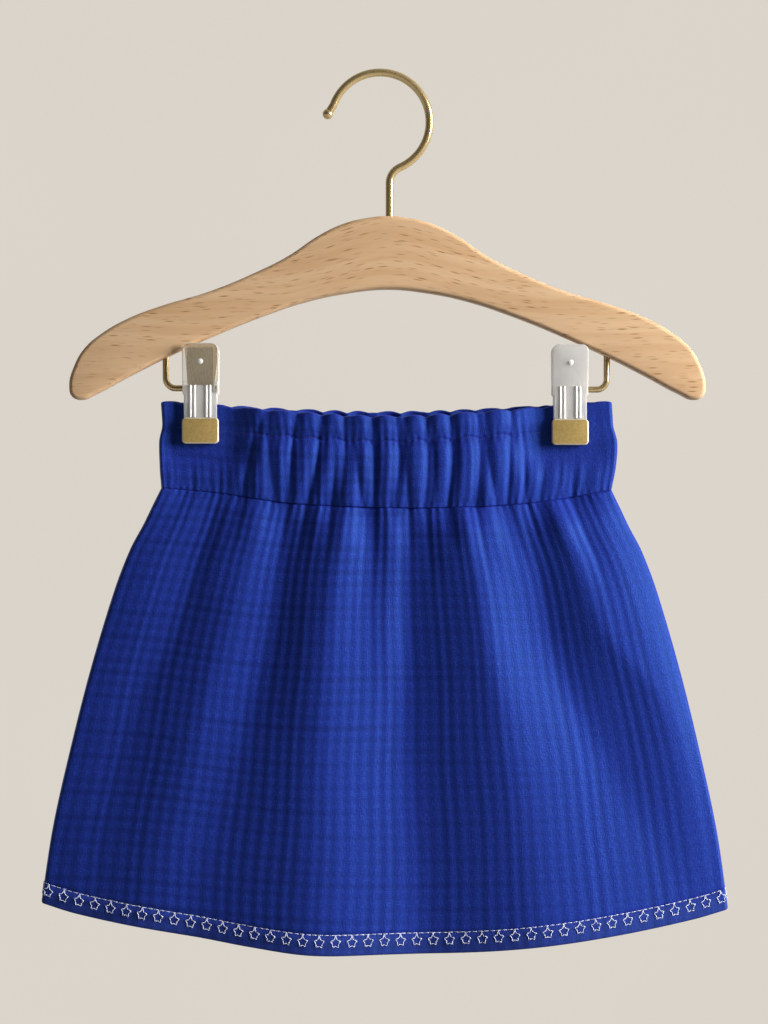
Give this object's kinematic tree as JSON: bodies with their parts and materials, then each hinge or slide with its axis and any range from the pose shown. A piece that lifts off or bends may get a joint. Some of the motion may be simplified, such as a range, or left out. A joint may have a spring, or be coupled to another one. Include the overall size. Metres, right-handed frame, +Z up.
{
  "type": "gauze skirt on a clip hanger",
  "caption": "Toddler's gathered gauze skirt with an elasticated waistband and star-stitched hem, held by clips on an arched wooden hanger with a wire hook.",
  "frame": {"origin": "inside of the hook's top, on the wire's middle plane, where it sits on a rail", "axes": "+Z up along the hook's stem, +X to the viewer's right as the skirt's front is seen, +Y from the front of the skirt to its back"},
  "size_m": [0.3232, 0.0579, 0.415],
  "materials": {
    "double_gauze": "crinkled cotton double gauze, matt with a soft nap",
    "hem_gauze": "pressed turned-up hem of the same gauze",
    "white_thread": "white machine embroidery thread",
    "beech": "pale beech, satin lacquer",
    "brass_wire": "satin brass wire",
    "spring_leaf": "dull brass-coloured spring leaf",
    "pad_brass": "satin brass pad with a worn bright edge",
    "clear_plastic": "clear moulded plastic"
  },
  "bodies": {
    "root": {"skirt_front": "double_gauze", "skirt_back": "double_gauze", "waistband_front": "double_gauze", "waistband_back": "double_gauze", "hem_front": "hem_gauze", "hem_back": "hem_gauze", "hanger_arm": "beech", "hook": "brass_wire", "clip_wire_left": "brass_wire", "clip_wire_right": "brass_wire", "clip_left_jaw_front": "clear_plastic", "clip_left_leaf_front": "spring_leaf", "clip_left_pad_front": "pad_brass", "clip_left_jaw_back": "clear_plastic", "clip_left_leaf_back": "spring_leaf", "clip_left_pad_back": "pad_brass", "clip_right_jaw_front": "clear_plastic", "clip_right_leaf_front": "spring_leaf", "clip_right_pad_front": "pad_brass", "clip_right_jaw_back": "clear_plastic", "clip_right_leaf_back": "spring_leaf", "clip_right_pad_back": "pad_brass"}
  },
  "joints": []
}
